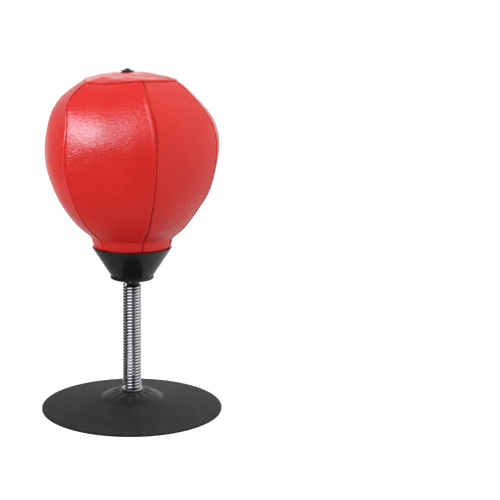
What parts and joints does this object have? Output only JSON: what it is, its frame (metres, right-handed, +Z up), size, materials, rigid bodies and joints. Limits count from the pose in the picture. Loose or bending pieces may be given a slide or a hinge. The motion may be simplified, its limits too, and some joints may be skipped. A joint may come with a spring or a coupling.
{
  "type": "desktop punch ball",
  "caption": "Desktop punch ball: an air-filled leather ball laced over a bladder, held in a funnel collar on a coil spring that stands on a wide rubber suction cup.",
  "frame": {"origin": "middle of the suction cup's foot, on the surface that it stands on", "axes": "+Z up along the spring, -Y towards the front, +X to the right as seen from the front"},
  "size_m": [0.17, 0.17, 0.3171],
  "materials": {
    "cup_rubber": "soft matte with a glossy dome",
    "spring_chrome": "bright plated wire",
    "zinc_steel": "zinc plated",
    "black_nylon": "satin moulded",
    "collar_plastic": "semi-gloss moulded",
    "red_leather": "glossy coated leather",
    "bladder_rubber": "smooth latex",
    "valve_rubber": "satin",
    "white_lace": "waxed cotton"
  },
  "bodies": {
    "base": {"suction_cup": "cup_rubber", "foot_washer": "zinc_steel", "base_stud": "black_nylon", "base_screw": "zinc_steel", "base_screw_washer": "zinc_steel", "spring_lower_end": "spring_chrome"},
    "spring_1": {"spring_coils_1": "spring_chrome"},
    "spring_2": {"spring_coils_2": "spring_chrome"},
    "spring_3": {"spring_coils_3": "spring_chrome"},
    "spring_4": {"spring_coils_4": "spring_chrome"},
    "spring_5": {"spring_coils_5": "spring_chrome"},
    "spring_6": {"spring_coils_6": "spring_chrome"},
    "head": {"spring_upper_end": "spring_chrome", "collar_stud": "black_nylon", "collar": "collar_plastic", "collar_screw": "zinc_steel", "collar_screw_washer": "zinc_steel", "clamp_cup": "black_nylon", "cover_panel_1": "red_leather", "cover_panel_2": "red_leather", "cover_panel_3": "red_leather", "cover_panel_4": "red_leather", "cover_panel_5": "red_leather", "cover_panel_6": "red_leather", "cover_cap": "red_leather", "bladder": "bladder_rubber", "valve_seat": "valve_rubber", "lace_tongue": "red_leather", "lace": "white_lace", "lace_eyelet_1": "zinc_steel", "lace_eyelet_2": "zinc_steel", "lace_eyelet_3": "zinc_steel", "lace_eyelet_4": "zinc_steel", "lace_eyelet_5": "zinc_steel", "lace_eyelet_6": "zinc_steel", "lace_eyelet_7": "zinc_steel", "lace_eyelet_8": "zinc_steel", "lace_eyelet_9": "zinc_steel", "lace_eyelet_10": "zinc_steel", "lace_eyelet_11": "zinc_steel", "lace_eyelet_12": "zinc_steel"},
    "plug": {"valve_plug": "valve_rubber"}
  },
  "joints": [
    {"name": "side_bend", "type": "hinge", "parent": "base", "child": "spring_1", "pos_m": [0, 0, 0.03414], "axis": [0, 1, 0], "range_deg": [-20, 20], "stiffness_Nm_per_rad": 2.7, "deforming": ["spring_coils_1"]},
    {"name": "fore_bend", "type": "hinge", "parent": "spring_1", "child": "spring_2", "pos_m": [0, 0, 0.04603], "axis": [1, 0, 0], "range_deg": [-20, 20], "stiffness_Nm_per_rad": 2.7, "deforming": ["spring_coils_2"]},
    {"name": "side_bend_middle", "type": "hinge", "parent": "spring_2", "child": "spring_3", "pos_m": [0, 0, 0.05791], "axis": [0, 1, 0], "range_deg": [-20, 20], "stiffness_Nm_per_rad": 2.7, "deforming": ["spring_coils_3"]},
    {"name": "fore_bend_middle", "type": "hinge", "parent": "spring_3", "child": "spring_4", "pos_m": [0, 0, 0.0698], "axis": [1, 0, 0], "range_deg": [-20, 20], "stiffness_Nm_per_rad": 2.7, "deforming": ["spring_coils_4"]},
    {"name": "side_bend_upper", "type": "hinge", "parent": "spring_4", "child": "spring_5", "pos_m": [0, 0, 0.08169], "axis": [0, 1, 0], "range_deg": [-20, 20], "stiffness_Nm_per_rad": 2.7, "deforming": ["spring_coils_5"]},
    {"name": "fore_bend_upper", "type": "hinge", "parent": "spring_5", "child": "spring_6", "pos_m": [0, 0, 0.09357], "axis": [1, 0, 0], "range_deg": [-20, 20], "stiffness_Nm_per_rad": 2.7, "deforming": ["spring_coils_6"]},
    {"name": "spring_twist", "type": "hinge", "parent": "spring_6", "child": "head", "pos_m": [0, 0, 0.10546], "axis": [0, 0, 1], "range_deg": [-20, 20], "stiffness_Nm_per_rad": 0.3},
    {"name": "valve_plug_pull", "type": "slide", "parent": "head", "child": "plug", "axis": [0, 0, 1], "range_m": [0, 0.008]}
  ],
  "couplings": [
    {"joint": "side_bend_middle", "follows": "side_bend", "ratio": 1},
    {"joint": "side_bend_upper", "follows": "side_bend", "ratio": 1},
    {"joint": "fore_bend_middle", "follows": "fore_bend", "ratio": 1},
    {"joint": "fore_bend_upper", "follows": "fore_bend", "ratio": 1}
  ]
}
